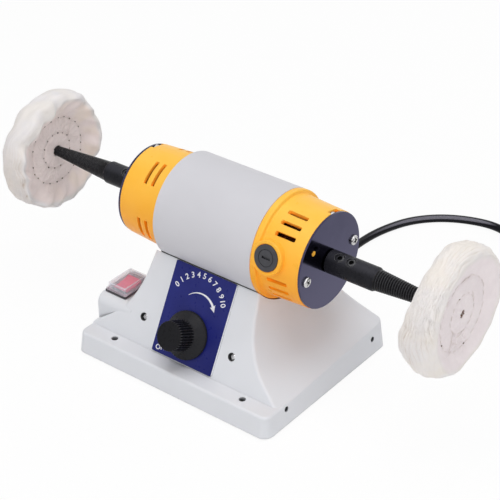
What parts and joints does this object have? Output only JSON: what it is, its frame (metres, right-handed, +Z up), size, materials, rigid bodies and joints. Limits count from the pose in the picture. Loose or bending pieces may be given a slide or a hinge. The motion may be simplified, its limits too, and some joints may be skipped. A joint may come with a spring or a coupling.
{
  "type": "bench polishing machine",
  "caption": "Bench polisher: brushed motor on a flared moulded base with speed knob and booted rocker, turning tapered spindles with sewn cloth buffs",
  "frame": {"origin": "centre of the base footprint on the surface it stands on", "axes": "+X along the motor to the brush end, +Y to the back where the cord leaves, +Z up"},
  "size_m": [0.402, 0.4548, 0.1604],
  "materials": {
    "base_shell": "satin moulded plastic, fine grain",
    "base_plate": "zinc plated sheet",
    "rubber_feet": "matt rubber",
    "liner": "thin rubber sheet",
    "screws": "bright zinc plated",
    "control_panel": "printed film",
    "motor_tube": "light grey powder paint",
    "end_caps": "yellow moulded plastic",
    "end_plates": "glossy black",
    "core_steel": "laminated sheet",
    "copper": "enamelled copper",
    "brass": "turned brass",
    "carbon": "pressed carbon",
    "brush_covers": "dark grey moulded plastic",
    "spring_steel": "spring wire",
    "bearing_steel": "ground steel",
    "spindle": "black oxide",
    "buff": "unbleached cotton cloth",
    "knob": "black moulded plastic",
    "board": "epoxy board",
    "aluminium": "extruded",
    "capacitor": "cast resin",
    "choke": "wound ring",
    "switch_body": "black moulded plastic",
    "rocker": "red moulded plastic",
    "boot": "clear soft plastic",
    "fan": "moulded plastic",
    "cord": "smooth black PVC",
    "tie": "strap"
  },
  "bodies": {
    "frame": {"base_shell": "base_shell", "base_plate": "base_plate", "rubber_feet": "rubber_feet", "side_screws": "screws", "front_screws": "screws", "board_nuts": "screws", "motor_screws": "screws", "plate_screws": "screws", "through_bolts": "screws", "bolt_nuts": "screws", "pot_nut": "screws", "control_panel": "control_panel", "motor_tube": "motor_tube", "saddle_liner": "liner", "right_end_cap": "end_caps", "left_end_cap": "end_caps", "right_end_plate": "end_plates", "left_end_plate": "end_plates", "stator_core": "core_steel", "field_coils": "copper", "bearing_outer_rings": "bearing_steel", "brush_holders": "brass", "brush_covers": "brush_covers", "brush_spring_front": "spring_steel", "brush_spring_rear": "spring_steel", "speed_pot": "aluminium", "control_board": "board", "heat_sink": "aluminium", "film_capacitor": "capacitor", "choke_coil": "choke", "switch_body": "switch_body", "switch_terminals": "brass", "switch_boot": "boot", "cord_gland": "cord", "power_cord": "cord", "cord_coil": "cord", "coil_tie": "tie", "plug_body": "cord", "plug_pins": "brass"},
    "rotor": {"rotor_shaft": "bearing_steel", "armature_core": "core_steel", "armature_winding": "copper", "commutator": "copper", "cooling_fan": "fan", "bearing_inner_rings": "bearing_steel", "left_spindle": "spindle", "right_spindle": "spindle", "set_screws": "spindle", "left_buff": "buff", "right_buff": "buff"},
    "knob": {"speed_knob": "knob", "pot_shaft": "aluminium"},
    "rocker": {"rocker": "rocker"},
    "front_brush": {"brush_front": "carbon"},
    "rear_brush": {"brush_rear": "carbon"}
  },
  "joints": [
    {"name": "rotor_spin", "type": "hinge", "parent": "frame", "child": "rotor", "pos_m": [0, 0.006, 0.1104], "axis": [1, 0, 0], "continuous": true},
    {"name": "knob_turn", "type": "hinge", "parent": "frame", "child": "knob", "pos_m": [-0.0019, -0.0504, 0.03892], "axis": [0, 0.8902, -0.4555], "range_deg": [0, 280]},
    {"name": "rocker_tip", "type": "hinge", "parent": "frame", "child": "rocker", "pos_m": [-0.0779, -0.0315, 0.0425], "axis": [1, 0, 0], "range_deg": [-16, 0]},
    {"name": "front_brush_slide", "type": "slide", "parent": "frame", "child": "front_brush", "axis": [0, -0.9588, 0.284], "range_m": [0, 0.003], "stiffness_N_per_m": 250, "springref_m": -0.006, "deforming": ["brush_spring_front"]},
    {"name": "rear_brush_slide", "type": "slide", "parent": "frame", "child": "rear_brush", "axis": [0, 0.9588, -0.284], "range_m": [0, 0.003], "stiffness_N_per_m": 250, "springref_m": -0.006, "deforming": ["brush_spring_rear"]}
  ]
}
